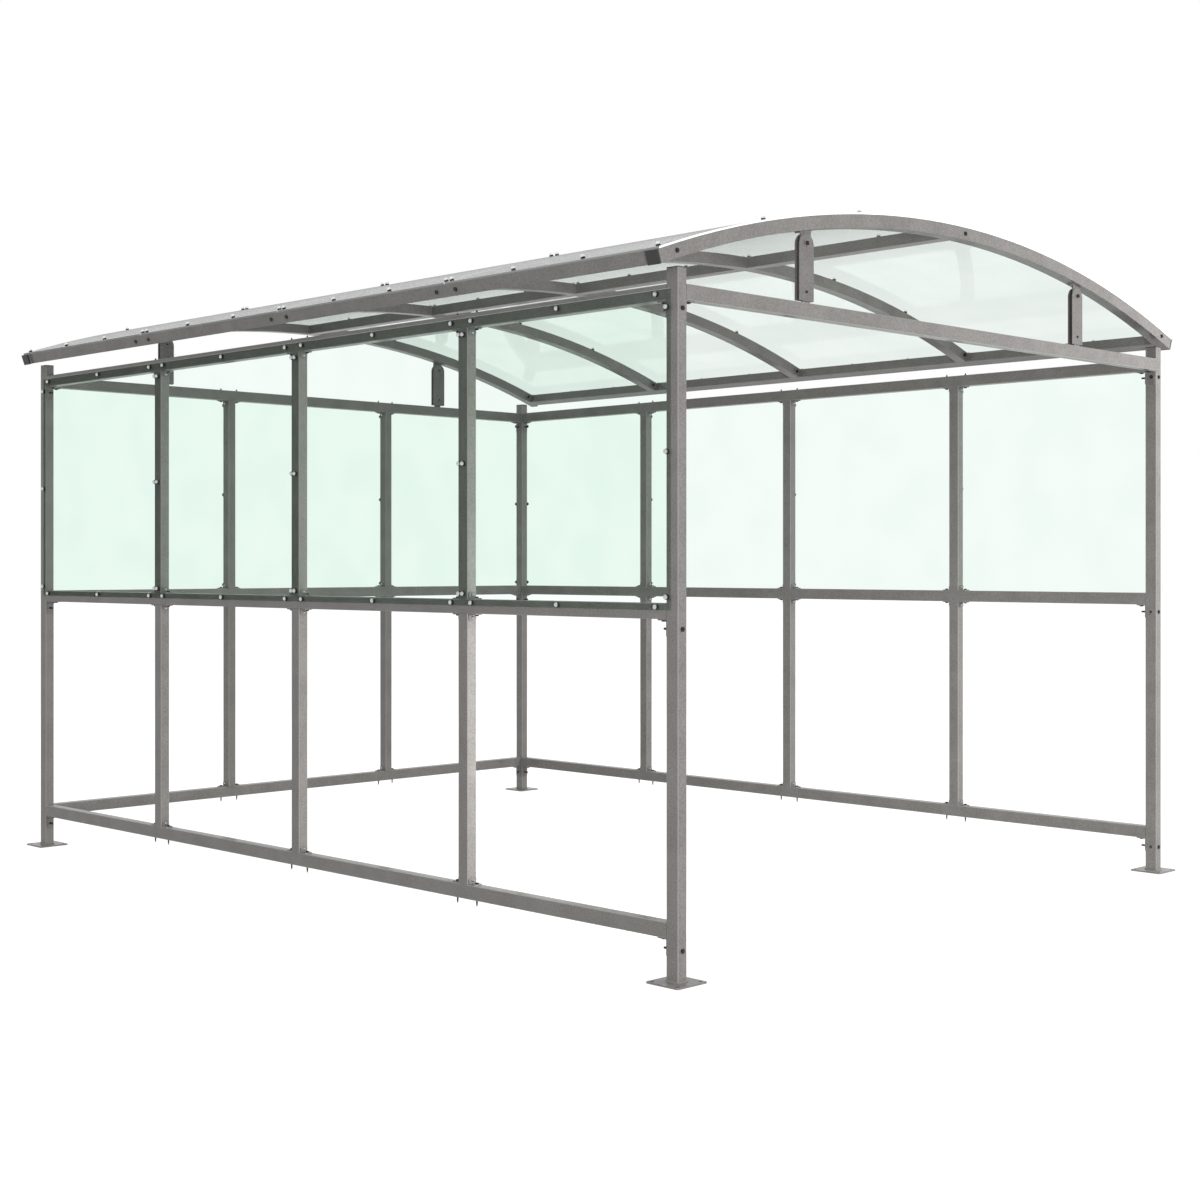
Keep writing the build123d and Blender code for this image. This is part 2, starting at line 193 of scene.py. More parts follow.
tube_coat = powder_coated_steel("powder_coated_steel_tube", "#7A7774", "#969390", 0.5)
bracket_coat = powder_coated_steel("powder_coated_steel_brackets", "#6E6B69", "#8A8784", 0.48)
print("powder coat: speckle about", round(SPECKLE / MM), "mm across as drawn")

# %% [markdown]
# The small parts need six plainer finishes, and one recipe serves them all: two tones of one colour in
# a fine grain, and a skin that is uneven by the same grain. The grain is 1.5 to 3 mm wide, coarser than
# the real one, so that it still shows at this distance.
# The caps on the posts and arches are moulded polypropylene, pressed into the open tube. It gives the
# eye a soft black that is never fully dark. The washers under the sheet screws are cut from black
# rubber, which is duller still. The wall screws have pressed caps of zinc-plated steel, a pale metal
# that mirrors the sky. The roof screws are coated with zinc flakes, which gives the eye an even,
# silvery white. The bolts are blackened steel, dipped in oil when hot: a dark brown grey with a thin
# shine. The weld beads lie under the same powder coat as the posts, only smoother.

# %% Finishes for small parts
def grained_finish(name, dark, pale, grain, roughness, metallic=0.0):
    """Two tones in a fine grain of that size in millimetres, with a slightly uneven skin."""
    finish, tree = new_finish(name)
    place = add_node(tree, "ShaderNodeTexCoord").outputs["Object"]
    texture = add_node(
        tree, "ShaderNodeTexNoise", {"Vector": place, "Scale": 1 / (grain * MM), "Detail": 2.0}
    )
    tone = add_node(tree, "ShaderNodeValToRGB", {"Fac": texture.outputs["Fac"]})
    tone.color_ramp.elements[0].position = 0.35
    tone.color_ramp.elements[0].color = paint(dark)
    tone.color_ramp.elements[1].position = 0.65
    tone.color_ramp.elements[1].color = paint(pale)
    skin = add_node(
        tree, "ShaderNodeBump", {"Height": texture.outputs["Fac"], "Strength": 0.2, "Distance": 0.2 * MM}
    )
    surface = add_node(
        tree,
        "ShaderNodeBsdfPrincipled",
        {
            "Base Color": tone.outputs["Color"],
            "Roughness": roughness,
            "Metallic": metallic,
            "Normal": skin.outputs["Normal"],
        },
    )
    add_node(tree, "ShaderNodeOutputMaterial", {"Surface": surface.outputs["BSDF"]})
    return finish


cap_plastic = grained_finish("moulded_black_polypropylene", "#2B2A2A", "#3B3A39", 2, 0.55)
washer_rubber = grained_finish("cut_black_rubber", "#1E1E1E", "#2A2A29", 1.5, 0.8)
zinc_plate = grained_finish("zinc_plated_steel", "#B4B6B6", "#D3D4D3", 3, 0.38, metallic=1.0)
white_zinc = grained_finish("white_zinc_flake_steel", "#E9EAEA", "#F8F8F8", 3, 0.5, metallic=1.0)
blackened_steel = grained_finish("oil_blackened_steel", "#343130", "#474341", 3, 0.42, metallic=1.0)
weld_coat = grained_finish("powder_coated_weld_bead", "#777471", "#8D8A87", 3, 0.5)
print("finishes for caps, washers, screw crowns, bolts and welds are ready")

# %% [markdown]
# The glazing is extruded clear polycarbonate. Seen face on it is almost colourless, and two sheets one
# behind the other turn a faint mint green. The tint wanders a little over a quarter of a metre, as it
# does where the melt was drawn out. Light passes through it, so its shadow has to stay pale: the rays
# that carry light, shadow rays and diffuse rays, see a tinted film, and the rays that carry the
# picture see a refracting sheet. Real polycarbonate bends light by 1.58. In an all-white studio that
# would lay a milky mirror image over every pane, so the index is matched to the photograph, 1.06.
# The roof sheets have been out in the weather. Fine dust and scratches hardly show when the eye looks
# through them, but along the edge of the roof, where the sheet is seen almost end on, they turn it
# light grey. The dust is a dull layer that grows as the sheet turns away from the eye, as it does on
# a real pane. Its patches are 12 mm wide, far coarser than real dust, which would not show at all.
# The cut edges are painted white and given a painted glow, though they are no lamp: it stands for the
# light that a sheet pipes along inside it and lets out there. On the flat walls those are the edges that
# face up or down, and on the roof the ones that don't. Along the eaves the cut edge is grey, with no glow.

# %% Clear polycarbonate
SHEET_BENDS_LIGHT = 1.06
FLOW_LINES = 260 * MM
DUST_PATCHES = 12 * MM


def clear_polycarbonate(name, tint, shadow_tint, roughness, edge_test, dust=0.0):
    """Clear extruded sheet, faint tint, painted glow on the cut edges, and dust that shows at a flat angle.
    """
    finish, tree = new_finish(name)
    part_space = add_node(tree, "ShaderNodeTexCoord").outputs
    place = part_space["Object"]
    faces = add_node(tree, "ShaderNodeSeparateXYZ", {0: part_space["Normal"]}).outputs
    flow = add_node(tree, "ShaderNodeTexNoise", {"Vector": place, "Scale": 1 / FLOW_LINES, "Detail": 1.0})
    tone = add_node(tree, "ShaderNodeValToRGB", {"Fac": flow.outputs["Fac"]})
    tone.color_ramp.elements[0].position = 0.3
    tone.color_ramp.elements[0].color = paint(tint[0])
    tone.color_ramp.elements[1].position = 0.7
    tone.color_ramp.elements[1].color = paint(tint[1])
    sheet = add_node(
        tree,
        "ShaderNodeBsdfPrincipled",
        {
            "Base Color": tone.outputs["Color"],
            "Roughness": roughness,
            "IOR": SHEET_BENDS_LIGHT,
            "Transmission Weight": 1.0,
        },
    )
    clear = sheet.outputs["BSDF"]
    if dust:
        grains = add_node(
            tree, "ShaderNodeTexNoise", {"Vector": place, "Scale": 1 / DUST_PATCHES, "Detail": 3.0}
        )
        shade = add_node(tree, "ShaderNodeValToRGB", {"Fac": grains.outputs["Fac"]})
        shade.color_ramp.elements[0].position = 0.3
        shade.color_ramp.elements[0].color = paint("#B2B3B2")
        shade.color_ramp.elements[1].position = 0.7
        shade.color_ramp.elements[1].color = paint("#DADBDA")
        film = add_node(tree, "ShaderNodeBsdfDiffuse", {"Color": shade.outputs["Color"]})
        turned_away = add_node(tree, "ShaderNodeLayerWeight", {"Blend": 0.5}).outputs["Facing"]
        amount = add_node(tree, "ShaderNodeMath", {0: turned_away, 1: dust}, operation="POWER")
        outside = add_node(tree, "ShaderNodeMath", {0: faces["Z"], 1: 0.5}, operation="GREATER_THAN")
        amount = add_node(
            tree, "ShaderNodeMath", {0: amount.outputs[0], 1: outside.outputs[0]}, operation="MULTIPLY"
        )
        clear = add_node(
            tree, "ShaderNodeMixShader", {"Fac": amount.outputs[0], 1: clear, 2: film.outputs["BSDF"]}
        ).outputs["Shader"]
    # Painted glow: cut edges are painted white and emit white light though they are no lamp; eave edges
    # stay grey.
    comparison, limit = edge_test
    steepness = add_node(tree, "ShaderNodeMath", {0: faces["Z"]}, operation="ABSOLUTE").outputs[0]
    on_edge = add_node(tree, "ShaderNodeMath", {0: steepness, 1: limit}, operation=comparison)
    eave_edge = add_node(tree, "ShaderNodeMath", {0: faces["X"]}, operation="ABSOLUTE")
    body = add_node(
        tree,
        "ShaderNodeMix",
        {"Factor": eave_edge.outputs[0], "A": paint("#F2F6F4"), "B": paint("#A4A6A5")},
        data_type="RGBA",
    )
    glow = add_node(
        tree,
        "ShaderNodeMix",
        {"Factor": eave_edge.outputs[0], "A": paint("#F7FBF9"), "B": paint("#000000")},
        data_type="RGBA",
    )
    cut_edge_with_painted_glow = add_node(
        tree,
        "ShaderNodeBsdfPrincipled",
        {
            "Base Color": body.outputs["Result"],
            "Roughness": 0.6,
            "Emission Color": glow.outputs["Result"],
            "Emission Strength": 0.45,
        },
    )
    clear = add_node(
        tree, "ShaderNodeMixShader", {"Fac": on_edge.outputs[0], 1: clear, 2: cut_edge_with_painted_glow.outputs["BSDF"]}
    ).outputs["Shader"]
    shadow = add_node(tree, "ShaderNodeBsdfTransparent", {"Color": paint(shadow_tint)})
    rays = add_node(tree, "ShaderNodeLightPath")
    lighting = add_node(
        tree,
        "ShaderNodeMath",
        {0: rays.outputs["Is Shadow Ray"], 1: rays.outputs["Is Diffuse Ray"]},
        operation="MAXIMUM",
    )
    surface = add_node(
        tree, "ShaderNodeMixShader", {"Fac": lighting.outputs[0], 1: clear, 2: shadow.outputs["BSDF"]}
    )
    add_node(tree, "ShaderNodeOutputMaterial", {"Surface": surface.outputs["Shader"]})
    return finish


WALL_TINT = ("#F1FBF5", "#F5FDF8")
ROOF_TINT = ("#E9F1ED", "#EEF5F1")
WALL_FILM = "#ECF1EE"
ROOF_FILM = "#B8C0BC"
wall_glazing = clear_polycarbonate(
    "clear_polycarbonate_walls", WALL_TINT, WALL_FILM, 0.0, ("GREATER_THAN", 0.5)
)
roof_glazing = clear_polycarbonate(
    "clear_polycarbonate_roof", ROOF_TINT, ROOF_FILM, 0.03, ("LESS_THAN", 0.9), dust=16.0
)
print("polycarbonate: the roof lets", round(paint(ROOF_FILM)[1] ** 2, 2), "of the light through")

# %% [markdown]
# Every part of the frame now takes its finish. The names of the parts say what they are made of, so
# short rules are enough: clear sheets, black caps, the darker coat for plate, and the tube coat for all
# the rest.

# %% Dress the frame
def finish_for(part):
    """Finish of a frame part, chosen by the words in its name."""
    if "roof_sheet" in part:
        return roof_glazing
    if "sheets" in part:
        return wall_glazing
    if "caps" in part:
        return cap_plastic
    if "cleats" in part or "lugs" in part or "strut" in part:
        return bracket_coat
    return tube_coat


for part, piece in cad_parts.items():
    piece.data.materials.clear()
    piece.data.materials.append(finish_for(part))
print("dressed", len(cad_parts), "parts")

# %% [markdown]
# Nearly all the hardware is round or six-sided, so one helper makes it: it turns an outline about an
# axis, as a lathe would. A bolt head is the same turning with six sides. Every kind of part is one
# joined mesh with many copies in it, which keeps the file light and the names few.

# %% Turning helper
def turned(shape, outline, sides, place, way):
    """Add a closed solid turned from (radius, height) points in mm, standing at place along way."""
    stand = Matrix.Translation(place) @ Vector(way).to_track_quat("Z", "Y").to_matrix().to_4x4()
    rings = []
    for radius, height in outline:
        ring = []
        for i in range(sides):
            turn = tau * i / sides
            corner = Vector((radius * cos(turn), radius * sin(turn), height)) * MM
            ring.append(shape.verts.new(stand @ corner))
        rings.append(ring)
    for low, high in zip(rings, rings[1:]):
        for i in range(sides):
            j = (i + 1) % sides
            shape.faces.new((low[i], low[j], high[j], high[i]))
    shape.faces.new(rings[0][::-1])
    shape.faces.new(rings[-1])


def new_piece(name, shape, finish, smooth_angle=None):
    """Turn a finished shape into a named piece that rides with the frame."""
    mesh = bpy.data.meshes.new(name)
    shape.to_mesh(mesh)
    shape.free()
    if smooth_angle:
        mesh.shade_smooth()
        mesh.set_sharp_from_angle(angle=radians(smooth_angle))
    mesh.materials.append(finish)
    piece = bpy.data.objects.new(name, mesh)
    bpy.context.scene.collection.objects.link(piece)
    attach(piece, "root")
    mesh.calc_loop_triangles()
    print(name, "has", len(mesh.loop_triangles), "triangles")
    return piece


def turned_piece(name, seats, outline, sides, finish, smooth_angle=40):
    """One joined piece with the same turned part at every seat, where a seat is a place and a way."""
    shape = bmesh.new()
    for place, way in seats:
        turned(shape, outline, sides, place, way)
    return new_piece(name, shape, finish, smooth_angle)


# %% [markdown]
# The hardware has to sit where the steel is, so its places are read off the frame and not typed in. A
# wall is a line of rails with a direction along it and a direction out of it. All three walls share one
# pattern of screws, so the pattern is written once and laid on each wall in turn. The angle cleats are
# folded from 4 mm plate, so what sits on a cleat stands out by the thickness of its leg.

# %% Places read from the frame
def middle(part):
    """Middle of the box round a part."""
    low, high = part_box(part)
    return (low + high) / 2


Wall = namedtuple("Wall", "line along out studs stud_half post_face")
front_post = middle("front_left_post")
back_post = middle("back_left_post")
side_line = abs(middle("left_bottom_rail").x)
back_line = middle("back_bottom_rail").y
side_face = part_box("left_bottom_rail")[1].y
back_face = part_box("back_bottom_rail")[1].x
rows = [front_post.y + (back_post.y - front_post.y) * i / 4 for i in (1, 2, 3)]
columns = [front_post.x / 3, -front_post.x / 3]
side_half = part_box("left_studs")[1].y - rows[-1]
back_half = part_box("back_studs")[1].x - columns[-1]
WALLS = (
    Wall(Vector((-side_line, 0, 0)), Vector((0, 1, 0)), Vector((-1, 0, 0)), rows, side_half, side_face),
    Wall(Vector((side_line, 0, 0)), Vector((0, 1, 0)), Vector((1, 0, 0)), rows, side_half, side_face),
    Wall(Vector((0, back_line, 0)), Vector((1, 0, 0)), Vector((0, 1, 0)), columns, back_half, back_face),
)
RAIL_NAMES = ("bottom", "middle", "top")
RAILS = {name: [corner.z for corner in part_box(f"left_{name}_rail")] for name in RAIL_NAMES}
SHEET_OUT = -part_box("left_sheets")[0].x - side_line
LEG = 4 * MM
UP = Vector((0, 0, 1))


def on_wall(wall, along, out, height):
    """Point on a wall: metres along it, out of the line of its rails, and above the ground."""
    return wall.line + wall.along * along + wall.out * out + UP * height


print("side studs at", [round(row, 4) for row in rows])
print("back studs at", [round(column, 4) for column in columns])

# %% [markdown]
# Each wall sheet is held by self-drilling screws with a black rubber washer and a pale pressed crown.
# On the rails they stand beside each stud and in the middle of each bay, on the studs in pairs astride
# the joint between two sheets, and on the posts one above the other. A washer is a thick ring with a
# bevel, and its crown is a shallow bell, so both are turned. The crowns are what catches the eye: a row
# of pale dots along the grey rails.

# %% Wall sheet screws
WASHER = ((8.2, 0.1), (8.8, 0.8), (8.8, 6.2), (7.8, 7.2))
CROWN = ((7.2, 7.1), (8.2, 8.0), (8.0, 10.0), (6.6, 12.6), (4.0, 14.0), (1.0, 14.4))
BESIDE_POST = 36 * MM
BESIDE_STUD = 53 * MM
ON_POST = 9 * MM
ON_STUD = 10 * MM
sheet_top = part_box("left_sheets")[1].z
sheet_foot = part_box("left_sheets")[0].z
rail_heights = (sheet_top - 14 * MM, sheet_foot + 11 * MM)
upright_heights = (sheet_top - 57 * MM, (sheet_top + sheet_foot) / 2 - 6 * MM, sheet_foot + 42 * MM)

sheet_seats = []
for wall in WALLS:
    edges = [-wall.post_face] + wall.studs + [wall.post_face]
    on_rails = [edges[0] + BESIDE_POST, edges[-1] - BESIDE_POST]
    on_rails += [stud + step for stud in wall.studs for step in (-BESIDE_STUD, BESIDE_STUD)]
    on_rails += [(first + last) / 2 for first, last in zip(edges, edges[1:])]
    on_uprights = [edges[0] - ON_POST, edges[-1] + ON_POST]
    on_uprights += [stud + step for stud in wall.studs for step in (-ON_STUD, ON_STUD)]
    for row, heights in ((on_rails, rail_heights), (on_uprights, upright_heights)):
        for along in row:
            for height in heights:
                sheet_seats.append((on_wall(wall, along, SHEET_OUT, height), wall.out))

turned_piece("wall_screw_washers", sheet_seats, WASHER, 16, washer_rubber)
turned_piece("wall_screw_crowns", sheet_seats, CROWN, 16, zinc_plate, 60)
print(len(sheet_seats), "screws hold the wall sheets")

# %% [markdown]
# The roof sheets are screwed down the same way, into the arches, the eave beams and the purlin. Where
# two sheets meet on an arch there is a row of screws on each side of the joint. The screws stand square
# to the curve, so each one leans a little more towards the eave. To find their places, the circle of
# the roof is worked out from the edge and the crown of one sheet.

# %% Roof sheet screws
ROOF_WASHER = ((7.2, 0.1), (7.7, 0.8), (7.7, 3.2), (7.0, 4.0))
ROOF_CROWN = ((6.8, 3.9), (7.6, 5.0), (7.4, 8.6), (5.8, 11.2), (3.0, 12.7), (0.8, 13.0))
roof_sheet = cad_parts["roof_sheet_1"]
roof_corners = [roof_sheet.matrix_world @ vertex.co for vertex in roof_sheet.data.vertices]
rim = max(roof_corners, key=lambda corner: corner.x)
crown_z = max(corner.z for corner in roof_corners)
roof_radius = (rim.x**2 + (crown_z - rim.z) ** 2) / (2 * (crown_z - rim.z))
roof_centre = crown_z - roof_radius
eave_angle = asin(rim.x / roof_radius)


def on_roof(angle, y, radius=roof_radius):
    """Point on the curve of the roof at an angle from the ridge, and the way square to it."""
    way = Vector((sin(angle), 0, cos(angle)))
    return Vector((0, y, roof_centre)) + way * radius, way


ACROSS_ARCH = (-1.065, -0.555, 0.555, 1.065)
ASTRIDE_JOINT = (-15 * MM, 15 * MM)
arch_rows = [middle(f"{name}_arch").y for name in ("front", "second", "middle", "fourth", "back")]
end_rows = (arch_rows[0], arch_rows[-1])
inner_rows = arch_rows[1:-1]
eave_beam_half = 25 * MM
eave_line = eave_angle - eave_beam_half / roof_radius
lengthwise = (-eave_line, 0, eave_line)

roof_seats = []
for row in arch_rows:
    for x in ACROSS_ARCH:
        for step in (0,) if row in end_rows else ASTRIDE_JOINT:
            roof_seats.append(on_roof(asin(x / roof_radius), row + step))
for first, last in zip(arch_rows, arch_rows[1:]):
    for share in (1 / 3, 2 / 3):
        for angle in lengthwise:
            roof_seats.append(on_roof(angle, first + (last - first) * share))
for row in inner_rows:
    for step in ASTRIDE_JOINT:
        for angle in lengthwise:
            roof_seats.append(on_roof(angle, row + step))
for row in end_rows:
    for angle in (-eave_line, eave_line):
        roof_seats.append(on_roof(angle, row))

turned_piece("roof_screw_washers", roof_seats, ROOF_WASHER, 16, washer_rubber)
turned_piece("roof_screw_crowns", roof_seats, ROOF_CROWN, 16, white_zinc, 60)
print("roof circle", round(roof_radius, 4), "m,", len(roof_seats), "screws hold the roof sheets")

# %% [markdown]
# The studs stand between angle cleats. The leg on the stud takes one small domed screw. The leg on the
# rail takes a darker self-drilling screw, and where the rail is open above or below, the point of the
# screw comes out on the far side. Real frames show those points, so they are made here too.

# %% Cleat screws
DOME = ((5.2, 0.1), (5.5, 1.2), (4.6, 3.4), (2.6, 4.6), (0.8, 5.0))
PAN_HEAD = ((6.2, 0.1), (6.6, 1.0), (6.6, 3.4), (5.0, 4.6), (1.0, 5.0))
POINT = ((5.4, 0.1), (4.8, 1.5), (3.3, 5.0), (2.9, 17.0), (0.5, 25.0))
TIP = ((3.8, 0.1), (3.6, 4.0), (2.6, 8.0), (0.5, 11.0))

ALONG_LEG = 26 * MM
UP_LEG = 14 * MM
cleat_faces = (
    (RAILS["bottom"][1], 1),
    (RAILS["middle"][0], -1),
    (RAILS["middle"][1], 1),
    (RAILS["top"][0], -1),
)

dome_seats = []
pan_seats = []
point_seats = []
tip_seats = []
for wall in WALLS:
    for stud in wall.studs:
        for side in (-1, 1):
            leg_face = stud + side * (wall.stud_half + LEG)
            on_rail = stud + side * (wall.stud_half + ALONG_LEG)
            for face, rise in cleat_faces:
                dome_seats.append((on_wall(wall, leg_face, 0, face + rise * UP_LEG), wall.along * side))
                pan_seats.append((on_wall(wall, on_rail, 0, face + rise * LEG), UP * rise))
            point_seats.append((on_wall(wall, on_rail, 0, RAILS["bottom"][0]), -UP))
            tip_seats.append((on_wall(wall, on_rail, 0, RAILS["top"][1]), UP))

turned_piece("cleat_screw_domes", dome_seats, DOME, 14, zinc_plate, 60)
turned_piece("cleat_screw_heads", pan_seats, PAN_HEAD, 14, blackened_steel)
turned_piece("cleat_screw_points", point_seats, POINT, 10, blackened_steel, 60)
turned_piece("cleat_screw_tips", tip_seats, TIP, 10, blackened_steel, 60)
print(len(dome_seats) + len(pan_seats), "screws hold the stud cleats")

# %% [markdown]
# The rails rest on larger cleats against the posts. On the side walls a bolt passes right through the
# post: its six-sided head sits on the outside, and a nut with a long end of thread stands inside. Where
# the beam and the back rails meet the post, the bolt has its head on the cleat.
# The front posts were drilled on all sides in one jig, so two holes on each are left over and are
# closed with black plugs.

# %% Post bolts and plugs
BOLT_HEAD = ((7.6, 0.1), (8.2, 0.6), (8.2, 3.4), (7.0, 4.2))
NUT = ((5.0, 0.1), (5.5, 0.6), (5.5, 4.4), (4.9, 5.0))
THREAD_END = ((4.0, 4.9), (4.0, 21.0), (2.6, 24.0))
PLUG = ((6.2, 0.1), (6.2, 0.8), (5.2, 1.6), (1.0, 1.8))
BOLT_DROP = {"bottom": 34 * MM, "middle": 30 * MM, "top": 27 * MM}
FROM_POST = 28 * MM

head_seats = []
nut_seats = []
for wall in WALLS:
    post_back = abs(front_post.y) * 2 - wall.post_face
    for name, (rail_foot, _) in RAILS.items():
        for side in (-1, 1):
            leg_face = side * (wall.post_face - LEG)
            height = rail_foot - BOLT_DROP[name]
            under_rail = on_wall(wall, side * (wall.post_face - FROM_POST), 0, rail_foot - LEG)
            head_seats.append((under_rail, -UP))
            if wall.out.x:
                head_seats.append((on_wall(wall, side * post_back, 0, height), wall.along * side))
                nut_seats.append((on_wall(wall, leg_face, 0, height), wall.along * -side))
            else:
                head_seats.append((on_wall(wall, leg_face, 0, height), wall.along * -side))
beam_line = middle("front_beam").y
beam_foot = RAILS["top"][0]
for side in (-1, 1):
    leg_face = Vector((side * (back_face - LEG), beam_line, beam_foot - BOLT_DROP["top"]))
    head_seats.append((leg_face, Vector((-side, 0, 0))))
    under_beam = Vector((side * (back_face - FROM_POST), beam_line, beam_foot - LEG))
    head_seats.append((under_beam, -UP))

plug_seats = []
for side in (-1, 1):
    for name in ("bottom", "middle"):
        hole = Vector((side * back_face, front_post.y, RAILS[name][0] - BOLT_DROP[name]))
        plug_seats.append((hole, Vector((-side, 0, 0))))

turned_piece("post_bolt_heads", head_seats, BOLT_HEAD, 6, blackened_steel, 20)
turned_piece("post_bolt_nuts", nut_seats, NUT, 6, blackened_steel, 20)
turned_piece("post_bolt_threads", nut_seats, THREAD_END, 10, blackened_steel)
turned_piece("post_hole_plugs", plug_seats, PLUG, 16, cap_plastic)
print(len(head_seats), "bolt heads,", len(nut_seats), "of them go through a post")

# %% [markdown]
# Bolts through the arches and the eave beams hold the roof cleats. They lie on a circle of their own,
# in the middle of the arch tube, half a tube below the sheets. The heads on the outer faces are the
# dark dots near the ends of the front arch. Each strut has one large bolt at the top, over a washer,
# and a small one at the foot. Their ends stand out behind.

# %% Roof and strut bolts
STRUT_WASHER = ((10.6, 0.1), (11.0, 0.5), (11.0, 1.8), (10.4, 2.4))
STRUT_HEAD = ((7.4, 2.3), (7.8, 2.8), (7.8, 6.4), (6.6, 7.2))
STRUT_STUB = ((4.4, 0.1), (4.6, 0.5), (4.6, 2.6), (3.4, 3.4))
SPIKE = ((3.1, 0.1), (3.1, 20.0), (0.8, 24.0))
SHEET_AND_SEAT = 6.3 * MM
ARCH_TUBE_HALF = 22.5 * MM
CLEAT_BOLT_RUN = 50 * MM
arch_low, arch_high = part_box("second_arch")
arch_half = (arch_high.y - arch_low.y) / 2
arch_line = roof_radius - SHEET_AND_SEAT - ARCH_TUBE_HALF

roof_bolt_seats = []
for row in arch_rows:
    for angle, side in ((-eave_line, -1), (0.0, 1), (eave_line, 1)):
        inward = CLEAT_BOLT_RUN * (-1 if angle else 1) * side
        slope = Vector((cos(angle), 0, -sin(angle)))
        corner = on_roof(angle, row, arch_line)[0]
        place = corner + slope * inward
        for way in (-1, 1):
            has_cleat = arch_rows[0] < row + way * arch_half < arch_rows[-1]
            seat = place + Vector((0, way * (arch_half + (LEG if has_cleat else 0)), 0))
            roof_bolt_seats.append((seat, Vector((0, way, 0))))
for row in inner_rows:
    for angle in (-eave_line, eave_line):
        corner = on_roof(angle, row, arch_line)[0]
        face = Vector((cos(angle), 0, -sin(angle))) * (1 if angle > 0 else -1)
        for step in (-CLEAT_BOLT_RUN, CLEAT_BOLT_RUN):
            place = corner + face * eave_beam_half + Vector((0, step, 0))
            roof_bolt_seats.append((place, face))
turned_piece("roof_bolt_heads", roof_bolt_seats, BOLT_HEAD, 6, blackened_steel, 20)

TOP_BOLT_DROP = 32 * MM
FOOT_BOLT_RISE = 30 * MM
SPIKE_SINK = 8 * MM
strut_tops = []
strut_feet = []
spikes = []
for part in ("front_left_strut", "front_right_strut", "back_left_strut", "back_right_strut"):
    low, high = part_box(part)
    centre = middle(part)
    out = Vector((0, -1 if centre.y < 0 else 1, 0))
    outer_y = low.y if centre.y < 0 else high.y
    top = Vector((centre.x, outer_y, high.z - TOP_BOLT_DROP))
    foot = Vector((centre.x, outer_y, low.z + FOOT_BOLT_RISE))
    strut_tops.append((top, out))
    strut_feet.append((foot, out))
    spikes += [(place - out * SPIKE_SINK, -out) for place in (top, foot)]
turned_piece("strut_bolt_washers", strut_tops, STRUT_WASHER, 20, bracket_coat)
turned_piece("strut_bolt_heads", strut_tops, STRUT_HEAD, 6, blackened_steel, 20)
turned_piece("strut_foot_bolts", strut_feet, STRUT_STUB, 14, washer_rubber)
turned_piece("strut_bolt_ends", spikes, SPIKE, 10, blackened_steel, 60)

# %% [markdown]
# Each post is welded to its foot plate all the way round. The weld was laid by hand, so the bead has
# small overlapping ripples and its width wanders by half a millimetre. It is swept round the post as
# a chain of rings, with every ring a little fatter or thinner than the last. The coat covers the weld,
# so it has the colour of the post.

# %% Weld beads
BEAD = 5.0
RIPPLE = 5.0
RIPPLE_DEPTH = 0.35
WANDER = 0.25
WANDER_LENGTH = 9.0
POINT_STEP = 1.25
POST_HALF = (20.0, 25.0)
POST_CORNER = 2.0
PLATE_TOP = 6.0
POSTS = ("front_left_post", "front_right_post", "back_left_post", "back_right_post")


def post_outline(half_x, half_y, corner):
    """Points round a post at even steps, each with the direction square to its face."""
    points = []
    for number, (out_x, out_y) in enumerate(((1, 0), (0, 1), (-1, 0), (0, -1))):
        reach = (half_y if out_x else half_x) - corner
        steps = int(2 * reach / POINT_STEP)
        for i in range(steps + 1):
            run = -reach + 2 * reach * i / steps
            base_x = out_x * half_x - out_y * run
            base_y = out_y * half_y + out_x * run
            points.append((base_x, base_y, out_x, out_y))
        for turn in (22.5, 45, 67.5):
            angle = radians(90 * number + turn)
            centre_x = out_x * (half_x - corner) - out_y * reach
            centre_y = out_y * (half_y - corner) + out_x * reach
            round_x = centre_x + corner * cos(angle)
            round_y = centre_y + corner * sin(angle)
            points.append((round_x, round_y, cos(angle), sin(angle)))
    return points


def add_bead(shape, centre, outline):
    """Sweep a rippled fillet round a post that stands on its foot plate."""
    rings = []
    run = 0.0
    for number, (x, y, out_x, out_y) in enumerate(outline):
        before = outline[number - 1]
        run += sqrt((x - before[0]) ** 2 + (y - before[1]) ** 2)
        ripple = RIPPLE_DEPTH * sin(tau * run / RIPPLE)
        size = BEAD + ripple + WANDER * sin(run / WANDER_LENGTH + centre.x * 7)
        bulge = size * 0.62
        section = ((-0.6, size), (0.0, size), (bulge, bulge), (size, 0.0), (-0.6, 0.0))
        ring = []
        for away, height in section:
            corner = Vector((x + out_x * away, y + out_y * away, PLATE_TOP + height)) * MM
            ring.append(shape.verts.new(corner + Vector((centre.x, centre.y, 0))))
        rings.append(ring)
    for first, last in zip(rings, rings[1:] + rings[:1]):
        for i in range(5):
            j = (i + 1) % 5
            shape.faces.new((first[i], last[i], last[j], first[j]))


shape = bmesh.new()
outline = post_outline(*POST_HALF, POST_CORNER)
for part in POSTS:
    add_bead(shape, middle(part), outline)
bmesh.ops.recalc_face_normals(shape, faces=shape.faces)
new_piece("post_foot_welds", shape, weld_coat, 50)

# %% [markdown]
# The holes for ground anchors are empty. A real foot plate lies on the ground, so its holes are in
# deep shade. On the bright studio floor it is painted shade: a dark plug, sunk just below the plate's face.

# %% Anchor holes
HOLE_SHADE = ((5.8, 0.2), (5.9, 5.0), (5.6, 5.4))
FROM_MIDDLE = (-52.5 * MM, 52.5 * MM)
hole_seats = []
for part in POSTS:
    centre = middle(part)
    for step_x in FROM_MIDDLE:
        for step_y in FROM_MIDDLE:
            hole_seats.append((Vector((centre.x + step_x, centre.y + step_y, 0)), UP))
# Painted shade: the plugs take the black rubber finish to stand for the shade in each hole.
turned_piece("anchor_hole_shades", hole_seats, HOLE_SHADE, 20, washer_rubber)

